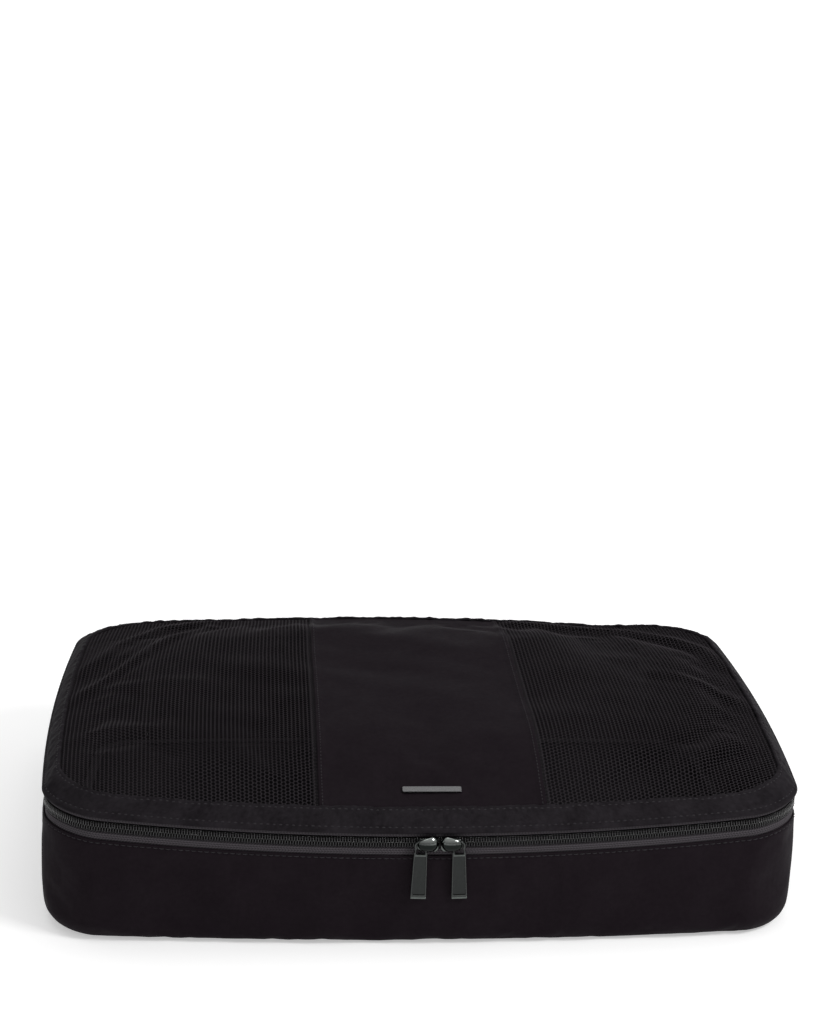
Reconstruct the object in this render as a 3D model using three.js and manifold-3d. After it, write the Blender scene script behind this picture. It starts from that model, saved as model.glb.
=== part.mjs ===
// Packing cube: a soft zipped case with a hinged lid that has two net windows.
// Millimetres, +Z up, front towards -Y. The origin is on the floor under the middle of the case.
import * as THREE from 'three';
import Module from 'manifold-3d';
import { mergeVertices } from 'three/addons/utils/BufferGeometryUtils.js';

const wasm = await Module();
wasm.setup();

// Driving dimensions
const HALF_W = 215;            // lid edge, half width at the corners
const HALF_D = 148;            // lid edge, half depth at the corners
const CORNER_R = 31;
const FRONT_BOW = 10;          // how far the filled front swells at its middle
const BACK_BOW = 5;
const SIDE_BOW = 7.5;
const EDGE_Z = 80;             // height of the lid edge at sides and back
const FRONT_SAG = 9.6;         // how much lower the lid edge is at the front middle
const SAG_REACH = 88;          // the sag fades out this far behind the front
const CROWN_H = 5;             // rise of the filled lid above its border
const CROWN_REACH = 84;        // distance inwards over which the lid rises
const CROWN_POWER = 2.4;
const CORNER_GROWTH = 0.55;    // the lid's contours get rounder inwards
const CLOTH = 1.6;             // doubled cloth
const GAP = 0.3;               // clearance between separate pieces

// Lid layout
const BORDER_W = 8.4;          // the border is a steep band round the lid: its width in plan
const BORDER_H = 9.3;          // and its rise, with the fold
const FOLD_H = 2;              // upright fold at the border's outer edge
const SEAM_X = 63.5;           // seams between the centre panel and the net windows
const PANEL_X = 3.2;           // the soft lid lies a little to the right of the middle

// Zip, measured from its centre line: o outwards from the lid edge, z up
const ZIP_DROP = 5.8;          // zip centre line below the lid edge
const COIL_IN = 0.6;
const COIL_OUT = 3;
const TAPE_OUTER = -2.2;
const TAPE_INNER = -3;
const WALL_TOP = -7.6;         // top fold of the side wall below the zip's centre line
const ZIP_END_X = 176;         // the zip turns both rear corners and ends here on the back
const BOTTOM_R = 12;           // rounding between wall and bottom

// Sliders and pulls
const ZIP_MEET = 6.5;          // x where the two sliders meet when the case is closed
const SLIDER_IN = 0.5;         // from there to the slider's wide end
const SLIDER_OUT = 12.5;
const SHELL_OUTER = [0.25, 1.65];
const SHELL_INNER = [-4.6, -3.35];
const CAP_TUNNEL = 4.25;       // inner face of the cap's bridge
const CAP_TOP = 5.4;
const PIVOT_X = 10.7;          // the cap's outer foot, which the pull hangs on
const PULL_FACES = [2.05, 3.85];
const PULL_LENGTH = 32.6;
const PULL_FLARE = 0.4;        // how much wider the pull's foot is on each side
const BADGE = { x: 17, y: 2.5, t: 1.2, depth: 24 };

const NYLON = [0x1c191c, 0.72, 0];
const NYLON_TRIM = [0x232023, 0.6, 0];
const NET = [0x161416, 0.65, 0];
const TAPE = [0x1f1d1f, 0.8, 0];
const COIL = [0x2b292b, 0.38, 0];
const GUNMETAL = [0x5d5f60, 0.25, 0.9];

const part = new THREE.Group();
part.name = 'packing_cube';

function add(name, geometry, [color, roughness, metalness]) {
  geometry.computeVertexNormals();
  const material = new THREE.MeshStandardMaterial({ color, roughness, metalness });
  const mesh = new THREE.Mesh(geometry, material);
  mesh.name = name;
  part.add(mesh);
}

// Plan outline

const frontBack = (y) => (y < 0 ? FRONT_BOW : BACK_BOW);

// Swells a point of the plain rounded rectangle to the filled outline.
function swell(x, y) {
  const bowX = SIDE_BOW * Math.max(0, 1 - (y / HALF_D) ** 2);
  const bowY = frontBack(y) * Math.max(0, 1 - (x / HALF_W) ** 2);
  return [x * (1 + bowX / HALF_W), y * (1 + bowY / HALF_D)];
}

// The plain point that swells to (x, y).
function unswell(x, y) {
  let px = x;
  let py = y;
  for (let i = 0; i < 12; i += 1) {
    const [sx, sy] = swell(px, py);
    px += x - sx;
    py += y - sy;
  }
  return [px, py];
}

// Points of the plain rounded rectangle, counter-clockwise, from the middle of the back.
function plainOutline() {
  const points = [];
  const cx = HALF_W - CORNER_R;
  const cy = HALF_D - CORNER_R;
  const line = (x0, y0, x1, y1, n) => {
    for (let i = 0; i < n; i += 1) {
      points.push([x0 + ((x1 - x0) * i) / n, y0 + ((y1 - y0) * i) / n]);
    }
  };
  const arc = (mx, my, start, n) => {
    for (let i = 0; i < n; i += 1) {
      const a = start + ((Math.PI / 2) * i) / n;
      points.push([mx + CORNER_R * Math.cos(a), my + CORNER_R * Math.sin(a)]);
    }
  };
  line(0, HALF_D, -cx, HALF_D, 5);
  arc(-cx, cy, Math.PI / 2, 7);
  line(-HALF_W, cy, -HALF_W, -cy, 6);
  arc(-cx, -cy, Math.PI, 7);
  line(-cx, -HALF_D, cx, -HALF_D, 12);
  arc(cx, -cy, Math.PI * 1.5, 7);
  line(HALF_W, -cy, HALF_W, cy, 6);
  arc(cx, cy, 0, 7);
  line(cx, HALF_D, 0, HALF_D, 5);
  return points;
}

// Height of the lid edge over a plain point: it hangs lowest at the middle of the front.
function edgeHeight(px, py) {
  const across = Math.max(0, 1 - (px / HALF_W) ** 2);
  const fade = Math.max(0, 1 - (HALF_D + py) / SAG_REACH) ** 2;
  return EDGE_Z - FRONT_SAG * across * fade;
}

// Stations along the lid edge, each with its outward direction and its height.
function makeStations() {
  const plain = plainOutline();
  const rim = plain.map(([x, y]) => swell(x, y));
  return rim.map(([x, y], i) => {
    const [ax, ay] = rim[(i + rim.length - 1) % rim.length];
    const [bx, by] = rim[(i + 1) % rim.length];
    const length = Math.hypot(bx - ax, by - ay);
    return { x, y, nx: (by - ay) / length, ny: -(bx - ax) / length, z: edgeHeight(...plain[i]) };
  });
}

const STATIONS = makeStations();

function lerpStation(a, b, t) {
  const s = {};
  for (const key of ['x', 'y', 'nx', 'ny', 'z']) {
    s[key] = a[key] + (b[key] - a[key]) * t;
  }
  return s;
}

// The stations that run from x = -endX on the back, round the front, to x = +endX on the back.
function frontStations(endX) {
  const onBack = (s) => s.y > HALF_D - 3 && Math.abs(s.x) < endX;
  const run = STATIONS.filter((s) => !onBack(s));
  const first = STATIONS.indexOf(run[0]);
  const last = STATIONS.indexOf(run[run.length - 1]);
  const before = STATIONS[first - 1];
  const after = STATIONS[(last + 1) % STATIONS.length];
  const start = lerpStation(before, run[0], (endX + before.x) / (before.x - run[0].x));
  const end = lerpStation(after, run[run.length - 1], (endX - after.x) / (run[run.length - 1].x - after.x));
  return [start, ...run, end];
}

// The stations of the back between x = +endX and x = -endX.
function backStations(endX) {
  const run = STATIONS.filter((s) => s.y > HALF_D - 3 && Math.abs(s.x) < endX - 1);
  run.sort((a, b) => b.x - a.x);
  const outer = STATIONS.filter((s) => s.y > 0 && Math.abs(s.x) >= endX - 1);
  const right = outer.filter((s) => s.x > 0).sort((a, b) => a.x - b.x)[0];
  const left = outer.filter((s) => s.x < 0).sort((a, b) => b.x - a.x)[0];
  const start = lerpStation(run[0], right, (endX - run[0].x) / (right.x - run[0].x));
  const last = run[run.length - 1];
  const end = lerpStation(last, left, (endX + last.x) / (last.x - left.x));
  return [start, ...run, end];
}

// Closed solids

function solid(vertices, triangles) {
  const geometry = new THREE.BufferGeometry();
  geometry.setAttribute('position', new THREE.Float32BufferAttribute(vertices.flat(), 3));
  geometry.setIndex(triangles.flat());
  return geometry;
}

// Sweeps a section along stations. section(station) gives [outwards, z] points, counter-clockwise.
function sweep(stations, section, closed = false) {
  const vertices = [];
  const triangles = [];
  const count = section(stations[0]).length;
  for (const s of stations) {
    for (const [o, z] of section(s)) {
      vertices.push([s.x + s.nx * o, s.y + s.ny * o, z]);
    }
  }
  const spans = closed ? stations.length : stations.length - 1;
  for (let j = 0; j < spans; j += 1) {
    const a = j * count;
    const b = ((j + 1) % stations.length) * count;
    for (let k = 0; k < count; k += 1) {
      const n = (k + 1) % count;
      triangles.push([a + k, b + k, b + n], [a + k, b + n, a + n]);
    }
  }
  if (!closed) {
    const shape = section(stations[0]).map(([o, z]) => new THREE.Vector2(o, z));
    const last = (stations.length - 1) * count;
    for (const [i, j, k] of THREE.ShapeUtils.triangulateShape(shape, [])) {
      triangles.push([i, j, k], [last + i, last + k, last + j]);
    }
  }
  return solid(vertices, triangles);
}

const rectangle = (o0, o1, z0, z1) => [[o0, z0], [o1, z0], [o1, z1], [o0, z1]];

// A strip whose section is a rectangle placed from the zip's centre line.
function zipStrip(stations, o0, o1, z0, z1) {
  return sweep(stations, (s) => {
    const centre = s.z - ZIP_DROP;
    return rectangle(o0, o1, centre + z0, centre + z1);
  });
}

// A grid of points, rows by columns, made into a sheet of the given thickness below it.
function sheet(grid, thickness) {
  const rows = grid.length;
  const columns = grid[0].length;
  const top = grid.flat();
  const vertices = [...top, ...top.map(([x, y, z]) => [x, y, z - thickness])];
  const triangles = [];
  const under = rows * columns;
  const quad = (a, b, c, d) => triangles.push([a, b, c], [a, c, d]);
  for (let r = 0; r < rows - 1; r += 1) {
    for (let c = 0; c < columns - 1; c += 1) {
      const a = r * columns + c;
      const b = a + 1;
      const d = a + columns;
      quad(a, b, d + 1, d);
      quad(under + a, under + d, under + d + 1, under + b);
    }
  }
  const ring = [];
  for (let c = 0; c < columns - 1; c += 1) ring.push(c);
  for (let r = 0; r < rows - 1; r += 1) ring.push(r * columns + columns - 1);
  for (let c = columns - 1; c > 0; c -= 1) ring.push((rows - 1) * columns + c);
  for (let r = rows - 1; r > 0; r -= 1) ring.push(r * columns);
  ring.forEach((a, i) => {
    const b = ring[(i + 1) % ring.length];
    quad(a, under + a, under + b, b);
  });
  return solid(vertices, triangles);
}

// The filled lid

function insideContour(px, py, depth) {
  const a = HALF_W - depth;
  const b = HALF_D - depth;
  const r = Math.min(CORNER_R + CORNER_GROWTH * depth, b);
  const qx = Math.max(Math.abs(px) - (a - r), 0);
  const qy = Math.max(Math.abs(py) - (b - r), 0);
  return Math.hypot(qx, qy) <= r;
}

// How far a plain point is inside the lid edge, along the lid's contours.
function contourDepth(px, py) {
  let low = 0;
  let high = BORDER_W + CROWN_REACH;
  for (let i = 0; i < 24; i += 1) {
    const middle = (low + high) / 2;
    if (insideContour(px, py, middle)) low = middle;
    else high = middle;
  }
  return low;
}

// Rise of the lid above its edge: the fold, the steep border, then the flatter crown.
function lidRise(depth) {
  const border = (BORDER_H - FOLD_H) * Math.min(depth / BORDER_W, 1);
  const inside = Math.max(0, depth - BORDER_W) / CROWN_REACH;
  return FOLD_H + border + CROWN_H * (1 - Math.max(0, 1 - inside) ** CROWN_POWER);
}

function lidTop(x, y) {
  const [px, py] = unswell(x, y);
  return edgeHeight(px, py) + lidRise(contourDepth(px, py));
}

// y of the border's inner edge at x, on the front (side -1) or the back (side 1).
function panelEnd(x, side, inset) {
  const reach = HALF_D - inset;
  const half = HALF_W - inset;
  const r = CORNER_R + CORNER_GROWTH * inset;
  let y = side * reach;
  for (let i = 0; i < 6; i += 1) {
    const [px] = unswell(x, y);
    const over = Math.min(Math.max(Math.abs(px) - (half - r), 0), r);
    const plain = side * (reach - r + Math.sqrt(r * r - over * over));
    y = swell(px, plain)[1];
  }
  return y;
}

function spread(from, to, n) {
  return Array.from({ length: n + 1 }, (_, i) => from + ((to - from) * i) / n);
}

// A lid panel between two plain x values, with more columns where eased is true.
function lidPanel(x0, x1, columns, inset, eased) {
  const rows = 14;
  const at = spread(0, 1, columns).map((t) => {
    const ease = eased ? Math.sin((t * Math.PI) / 2) : t;
    return x0 + (x1 - x0) * ease;
  });
  return at.map((px) => {
    const half = HALF_W - inset;
    const r = CORNER_R + CORNER_GROWTH * inset;
    const over = Math.min(Math.max(Math.abs(px) - (half - r), 0), r);
    const reach = HALF_D - inset - r + Math.sqrt(r * r - over * over);
    return spread(-reach, reach, rows).map((py) => {
      const [x, y] = swell(px, py);
      return [x, y, lidTop(x, y)];
    });
  });
}

function addLidPanels() {
  const inset = BORDER_W + GAP;
  const half = HALF_W - inset;
  const centre = lidPanel(PANEL_X - SEAM_X + GAP, PANEL_X + SEAM_X - GAP, 6, inset, false);
  add('lid_centre_panel', sheet(centre.reverse(), CLOTH), NYLON);
  const right = lidPanel(PANEL_X + SEAM_X + GAP, half, 9, inset, true);
  add('lid_mesh_right', sheet(right.reverse(), CLOTH), NET);
  const left = lidPanel(PANEL_X - SEAM_X - GAP, -half, 9, inset, true);
  add('lid_mesh_left', sheet(left, CLOTH), NET);
}

// The contour of the lid at a depth, one point for each station.
function contour(depth) {
  const a = HALF_W - depth;
  const b = HALF_D - depth;
  const r = CORNER_R + CORNER_GROWTH * depth;
  const cx = HALF_W - CORNER_R;
  const cy = HALF_D - CORNER_R;
  return plainOutline().map(([x, y]) => {
    const dx = Math.max(Math.abs(x) - cx, 0) / CORNER_R;
    const dy = Math.max(Math.abs(y) - cy, 0) / CORNER_R;
    const px = Math.sign(x) * (Math.abs(x) > cx ? a - r + r * dx : (Math.abs(x) * (a - r)) / cx);
    const py = Math.sign(y) * (Math.abs(y) > cy ? b - r + r * dy : (Math.abs(y) * (b - r)) / cy);
    const [sx, sy] = swell(px, py);
    return [sx, sy, edgeHeight(px, py) + lidRise(depth)];
  });
}

// The steep band round the lid: an upright fold at its edge, then a rising band.
function addLidBorder() {
  const depths = [0, BORDER_W / 2, BORDER_W];
  const tops = depths.map(contour);
  const count = STATIONS.length;
  const rings = [
    STATIONS.map((s) => [s.x, s.y, s.z]),
    ...tops,
    ...tops.slice(1).reverse().map((ring) => ring.map(([x, y, z]) => [x, y, z - CLOTH])),
    STATIONS.map((s) => [s.x - s.nx * CLOTH, s.y - s.ny * CLOTH, s.z]),
  ];
  const vertices = rings.flat();
  const triangles = [];
  rings.forEach((_, k) => {
    const a = k * count;
    const b = ((k + 1) % rings.length) * count;
    for (let i = 0; i < count; i += 1) {
      const n = (i + 1) % count;
      triangles.push([a + i, a + n, b + n], [a + i, b + n, b + i]);
    }
  });
  add('lid_border', solid(vertices, triangles), NYLON_TRIM);
}

// Bound seams inside the lid, under the edges of the centre panel.
function addSeamBindings() {
  const halfWidth = 4;
  const drop = CLOTH + GAP;
  const thickness = 0.8;
  for (const [name, side] of [['left', -1], ['right', 1]]) {
    const inset = BORDER_W + 3;
    const seam = PANEL_X + side * SEAM_X;
    const lines = [seam + halfWidth, seam - halfWidth].map((x) => {
      const front = panelEnd(x, -1, inset);
      const back = panelEnd(x, 1, inset);
      return spread(front, back, 12).map((y) => [x, y, lidTop(x, y) - drop]);
    });
    add(`lid_seam_binding_${name}`, sheet(lines, thickness), TAPE);
  }
}

function addLidEdge() {
  const binding = sweep(STATIONS, (s) => {
    const centre = s.z - ZIP_DROP;
    return rectangle(-7, -5.2, centre + 3, centre + 6.6);
  }, true);
  add('lid_edge_binding', binding, TAPE);
  const skirt = zipStrip(backStations(ZIP_END_X - 3), -CLOTH, 0, GAP / 2, ZIP_DROP - GAP);
  add('lid_back_skirt', skirt, NYLON);
}

function addBadge() {
  const y = -(HALF_D + FRONT_BOW - BADGE.depth);
  const slope = Math.atan2(lidTop(0, y + 2) - lidTop(0, y - 2), 4);
  const corners = [[-BADGE.x, -BADGE.y], [BADGE.x, -BADGE.y], [BADGE.x, BADGE.y], [-BADGE.x, BADGE.y]];
  const plate = new THREE.ExtrudeGeometry(
    new THREE.Shape(corners.map(([px, py]) => new THREE.Vector2(px, py))),
    { depth: BADGE.t, bevelEnabled: false },
  );
  plate.rotateX(slope);
  plate.translate(PANEL_X, y, lidTop(PANEL_X, y) + GAP + 0.1);
  add('badge_plate', mergeClosed(plate), GUNMETAL);
}

// The base

function wallSection(s) {
  const top = s.z - ZIP_DROP + WALL_TOP;
  return wallShape(top);
}

// Wall from the bottom seam, round the soft bottom edge and up to its top fold.
function wallShape(top) {
  const outer = [];
  const inner = [];
  for (let i = 0; i <= 4; i += 1) {
    const a = -Math.PI / 2 + ((Math.PI / 2) * i) / 4;
    const sin = Math.sin(a);
    const cos = Math.cos(a);
    outer.push([-BOTTOM_R + BOTTOM_R * cos, BOTTOM_R + BOTTOM_R * sin]);
    const r = BOTTOM_R - CLOTH;
    inner.push([-BOTTOM_R + r * cos, BOTTOM_R + r * sin]);
  }
  outer.push([0, top]);
  inner.push([-CLOTH, top]);
  return [...outer, ...inner.reverse()];
}

function addWalls() {
  const seamX = ZIP_END_X - 3;
  add('gusset', sweep(frontStations(seamX), wallSection), NYLON);
  const backWall = sweep(backStations(seamX - GAP), (s) => wallShape(s.z - ZIP_DROP - GAP / 2));
  add('back_panel', backWall, NYLON);
  for (const [name, side] of [['left', -1], ['right', 1]]) {
    const x = side * seamX;
    const height = EDGE_Z - ZIP_DROP - BOTTOM_R - 18;
    const strip = new THREE.BoxGeometry(6, 0.8, height);
    const y = HALF_D + BACK_BOW * (1 - (x / HALF_W) ** 2) - CLOTH - 0.9;
    strip.translate(x, y, BOTTOM_R + 3 + height / 2);
    add(`back_corner_binding_${name}`, mergeClosed(strip), TAPE);
  }
}

function addBottom() {
  const inset = BOTTOM_R + GAP;
  const edge = STATIONS.map((s) => new THREE.Vector2(s.x - s.nx * inset, s.y - s.ny * inset));
  const panel = new THREE.ExtrudeGeometry(new THREE.Shape(edge), { depth: CLOTH, bevelEnabled: false });
  add('bottom_panel', mergeClosed(panel), NYLON);
  const bound = sweep(STATIONS, () => rectangle(-inset - 4, -inset + 1, CLOTH + 0.4, CLOTH + 1.2), true);
  add('bottom_seam_binding', bound, TAPE);
}

function addZip() {
  const run = frontStations(ZIP_END_X);
  add('zip_tape_lower', zipStrip(run, TAPE_INNER, TAPE_OUTER, -12, -COIL_IN - 0.1), TAPE);
  add('zip_tape_upper', zipStrip(run, TAPE_INNER, TAPE_OUTER, COIL_IN + 0.1, 5.4), TAPE);
  const coilOuter = -0.1;
  const coilInner = TAPE_OUTER + GAP;
  add('zip_coil_lower', zipStrip(run, coilInner, coilOuter, -COIL_OUT, -COIL_IN), COIL);
  add('zip_coil_upper', zipStrip(run, coilInner, coilOuter, COIL_IN, COIL_OUT), COIL);
  for (const [name, side] of [['left', -1], ['right', 1]]) {
    const near = backStations(ZIP_END_X - GAP);
    const tip = side > 0 ? near[0] : near[near.length - 1];
    const next = side > 0 ? near[1] : near[near.length - 2];
    const inner = lerpStation(tip, next, 2.2 / Math.abs(next.x - tip.x));
    const ends = side > 0 ? [tip, inner] : [inner, tip];
    add(`zip_end_tab_${name}`, zipStrip(ends, coilInner, coilOuter, -6, -COIL_IN), TAPE);
  }
}

// Metal pieces on the front

function toManifold(geometry) {
  const plain = geometry.clone();
  plain.deleteAttribute('normal');
  plain.deleteAttribute('uv');
  const merged = mergeVertices(plain, 1e-4);
  const mesh = new wasm.Mesh({
    numProp: 3,
    vertProperties: new Float32Array(merged.attributes.position.array),
    triVerts: new Uint32Array(merged.index.array),
  });
  return new wasm.Manifold(mesh);
}

function fromManifold(manifold) {
  const mesh = manifold.getMesh();
  const geometry = new THREE.BufferGeometry();
  geometry.setAttribute('position', new THREE.BufferAttribute(mesh.vertProperties.slice(), 3));
  geometry.setIndex(new THREE.BufferAttribute(mesh.triVerts.slice(), 1));
  return geometry;
}

const mergeClosed = (geometry) => fromManifold(toManifold(geometry));

const FRONT_Y = -(HALF_D + FRONT_BOW);
const FRONT_ZIP_Z = EDGE_Z - FRONT_SAG - ZIP_DROP;

// A prism facing the front: points are [x, z] from where the sliders meet, faces outward distances.
function frontPrism(points, [inner, outer], holes = []) {
  const toPath = (list) => list.map(([x, z]) => new THREE.Vector2(x, z));
  const shape = new THREE.Shape(toPath(points));
  shape.holes = holes.map((hole) => new THREE.Path(toPath(hole)));
  const geometry = new THREE.ExtrudeGeometry(shape, { depth: outer - inner, bevelEnabled: false });
  geometry.rotateX(Math.PI / 2);
  geometry.translate(ZIP_MEET, FRONT_Y - inner, FRONT_ZIP_Z);
  return geometry;
}

const mirrorIf = (flip, points) => (flip ? points.map(([x, z]) => [-x, z]).reverse() : points);

function unite(geometries) {
  const [first, ...rest] = geometries.map(toManifold);
  return fromManifold(rest.reduce((sum, piece) => sum.add(piece), first));
}

function sliderBody(flip) {
  const wide = 4.9;
  const narrow = 4;
  const cut = 1.4;
  const plate = [
    [SLIDER_IN, -wide + cut], [SLIDER_IN + cut, -wide], [SLIDER_OUT - cut, -narrow], [SLIDER_OUT, -narrow + cut],
    [SLIDER_OUT, narrow - cut], [SLIDER_OUT - cut, narrow], [SLIDER_IN + cut, wide], [SLIDER_IN, wide - cut],
  ];
  const post = [[SLIDER_IN + 0.6, -0.3], [SLIDER_IN + 3.4, -0.3], [SLIDER_IN + 3.4, 0.3], [SLIDER_IN + 0.6, 0.3]];
  return unite([
    frontPrism(mirrorIf(flip, plate), SHELL_OUTER),
    frontPrism(mirrorIf(flip, plate), SHELL_INNER),
    frontPrism(mirrorIf(flip, post), [SHELL_INNER[1] - 0.2, SHELL_OUTER[0] + 0.2]),
  ]);
}

// The bridge over the slider: two feet and a span that leaves a tunnel for the pull's loop.
function sliderCap(flip) {
  const half = 1.7;
  const bar = (x0, x1) => mirrorIf(flip, [[x0, -half], [x1, -half], [x1, half], [x0, half]]);
  const foot = SHELL_OUTER[1] + 0.05;
  const inX = SLIDER_IN + 0.6;
  const outX = PIVOT_X + 1.3;
  return unite([
    frontPrism(bar(inX, outX), [CAP_TUNNEL, CAP_TOP]),
    frontPrism(bar(inX, inX + 2), [foot, CAP_TUNNEL + 0.2]),
    frontPrism(bar(outX - 2.6, outX), [foot, CAP_TUNNEL + 0.2]),
  ]);
}

// A flat bar that widens downwards, with a round-topped window that hangs on the cap's foot.
function pull(flip) {
  const loopR = 4;
  const foot = loopR + PULL_FLARE;
  const windowR = 2.6;
  const windowBottom = -5.4;
  const centre = flip ? -PIVOT_X : PIVOT_X;
  const halfCircle = (r) => spread(0, Math.PI, 10).map((a) => [centre + r * Math.cos(a), r * Math.sin(a)]);
  const outer = [
    ...halfCircle(loopR),
    [centre - foot, -PULL_LENGTH + 0.8], [centre - foot + 0.6, -PULL_LENGTH],
    [centre + foot - 0.6, -PULL_LENGTH], [centre + foot, -PULL_LENGTH + 0.8],
  ];
  const hole = [...halfCircle(windowR), [centre - windowR, windowBottom], [centre + windowR, windowBottom]];
  return mergeClosed(frontPrism(outer, PULL_FACES, [hole.reverse()]));
}

function addSliders() {
  for (const [name, flip] of [['left', true], ['right', false]]) {
    add(`slider_${name}_body`, sliderBody(flip), GUNMETAL);
    add(`slider_${name}_cap`, sliderCap(flip), GUNMETAL);
    add(`pull_${name}`, pull(flip), GUNMETAL);
  }
}

addBottom();
addWalls();
addZip();
addLidPanels();
addLidBorder();
addSeamBindings();
addLidEdge();
addBadge();
addSliders();

export default part;
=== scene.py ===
"""Packing cube: its visible cloth, net, zip and metal pieces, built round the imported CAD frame."""
import math

import bpy
import numpy as np
from mathutils import Matrix


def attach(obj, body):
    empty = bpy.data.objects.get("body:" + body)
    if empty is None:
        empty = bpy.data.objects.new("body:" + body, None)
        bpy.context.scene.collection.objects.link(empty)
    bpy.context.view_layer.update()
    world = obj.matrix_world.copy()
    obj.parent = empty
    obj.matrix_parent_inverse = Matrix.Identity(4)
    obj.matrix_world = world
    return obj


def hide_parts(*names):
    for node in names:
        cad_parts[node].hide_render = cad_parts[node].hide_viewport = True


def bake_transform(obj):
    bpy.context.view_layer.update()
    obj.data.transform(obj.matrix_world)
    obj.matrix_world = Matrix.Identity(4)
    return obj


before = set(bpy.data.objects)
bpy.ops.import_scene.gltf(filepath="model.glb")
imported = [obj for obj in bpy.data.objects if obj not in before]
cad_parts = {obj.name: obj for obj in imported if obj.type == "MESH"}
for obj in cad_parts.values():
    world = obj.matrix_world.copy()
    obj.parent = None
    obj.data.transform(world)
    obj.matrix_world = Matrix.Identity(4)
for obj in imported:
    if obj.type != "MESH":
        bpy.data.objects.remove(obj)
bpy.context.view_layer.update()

# Shape of the case in millimetres, as in the CAD model
MM = 0.001
HALF_W = 215.0
HALF_D = 148.0
CORNER_R = 31.0
FRONT_BOW = 10.0
BACK_BOW = 5.0
SIDE_BOW = 7.5
EDGE_Z = 80.0
FRONT_SAG = 9.6
SAG_REACH = 88.0
CROWN_H = 5.0
CROWN_REACH = 84.0
CROWN_POWER = 2.4
CORNER_GROWTH = 0.55
BORDER_W = 8.4
BORDER_H = 9.3
FOLD_H = 2.0
SEAM_X = 63.5
PANEL_X = 3.2
ZIP_DROP = 5.8
WALL_TOP = -7.6
BOTTOM_R = 12.0
BACK_SEAM_X = 173.0
ZIP_END_X = 176.0
ZIP_MEET = 6.5
PIVOT_X = 10.7
HINGE_Z = EDGE_Z - ZIP_DROP
ZIP_Z = HINGE_Z - FRONT_SAG
FRONT_Y = -(HALF_D + FRONT_BOW)

# Sizes of the details
CLOTH_T = 0.7
BORDER_T = 0.5
STITCH = 3.6
NET_PITCH = 2.27
NET_ROW = 1.42
NET_ZIGZAG = 0.42
CHAIN_R = 0.50
LINK_R = 0.33
THREAD_FLAT = 0.5
THREAD_SIDES = 6
COIL_PITCH = 1.5
TAPE_OVERLAP = 6.0
TAPE_T = 0.6
WALL_STITCH = 1.9
DOME_T = 1.0
DOME_CURL = 0.09
DOME_UP = 0.09
PULL_LENGTH = 32.6
BADGE_DEPTH = 24.0
PANEL_EDGE = SEAM_X + 1.3
NET_INSET = BORDER_W - 1.5

# The border's outer face: how far inside the lid edge, and height above it. Below 2.5 is the fold.
BORDER_PROFILE = [
    (0.8, 0.0), (0.1, 0.1), (-0.3, 0.5), (-0.42, 1.0), (-0.3, 1.6), (0.05, 2.1), (0.45, 2.4), (0.8, 2.5),
    (1.1, 2.7), (1.5, 3.3), (2.0, 4.0), (2.8, 5.0), (3.8, 6.1), (4.8, 7.0), (5.8, 7.9), (6.6, 8.6),
    (7.1, 8.95), (7.45, 9.05), (7.8, 9.35), (8.15, 9.75), (8.5, 9.95), (8.8, 9.85), (9.0, 9.5), (9.0, 9.0)]
OUTER_STITCH = 1.05
INNER_STITCH = 7.45

# Broad rises and hollows of the filled lid: plain x and y, reach and height
SWELLS = [(-20, 120, 75, 1.8), (150, 125, 50, -3.2), (-195, 128, 34, -1.8), (205, -10, 26, 0.8)]

# Soft creases of the lid: plain points along the ridge, its height and its width
CREASES = [
    ([(-206, 40), (-181, 88), (-160, 118), (-130, 136)], 2.8, 7),
    ([(-208, -12), (-182, 30), (-168, 53), (-150, 89), (-128, 122)], 3.0, 6),
    ([(-190, 8), (-165, 4), (-130, 4)], 1.0, 7),
    ([(80, 134), (127, 126), (155, 119), (180, 106), (198, 84), (206, 55)], 3.6, 8),
    ([(212, -33), (199, -10), (180, 12), (150, 24)], 2.2, 8),
    ([(-205, -70), (-180, -62), (-150, -66)], 1.2, 9),
    ([(120, -132), (150, -112), (180, -78), (196, -40)], 1.1, 12),
]

SIDES = (("left", -1), ("right", 1))
RNG = np.random.default_rng(7)


# ---- shape of the case

def unit(vectors):
    return vectors / np.linalg.norm(vectors, axis=-1, keepdims=True)


def arc_lengths(points):
    """Length along a line of points at each of them."""
    return np.r_[0, np.cumsum(np.linalg.norm(np.diff(points, axis=0), axis=1))]


def at_lengths(at, s, table):
    """The columns of a table given at lengths s, read at other lengths."""
    return np.stack([np.interp(at, s, column) for column in table.T], -1)


def stack(*parts):
    """Points from their coordinates, which only have to fit each other."""
    return np.stack(np.broadcast_arrays(*parts), -1)


def swell(px, py):
    """The filled outline's point for a point of the plain rounded rectangle."""
    bow_x = SIDE_BOW * np.clip(1 - (py / HALF_D) ** 2, 0, None)
    bow = np.where(py < 0, FRONT_BOW, BACK_BOW)
    bow_y = bow * np.clip(1 - (px / HALF_W) ** 2, 0, None)
    return px * (1 + bow_x / HALF_W), py * (1 + bow_y / HALF_D)


def plain_x(x, py):
    """Plain x of the points seen at x, for a plain y."""
    return x / (1 + SIDE_BOW * np.clip(1 - (py / HALF_D) ** 2, 0, None) / HALF_W)


def edge_height(px, py):
    across = np.clip(1 - (px / HALF_W) ** 2, 0, None)
    fade = np.clip(1 - (HALF_D + py) / SAG_REACH, 0, None) ** 2
    return EDGE_Z - FRONT_SAG * across * fade


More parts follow.
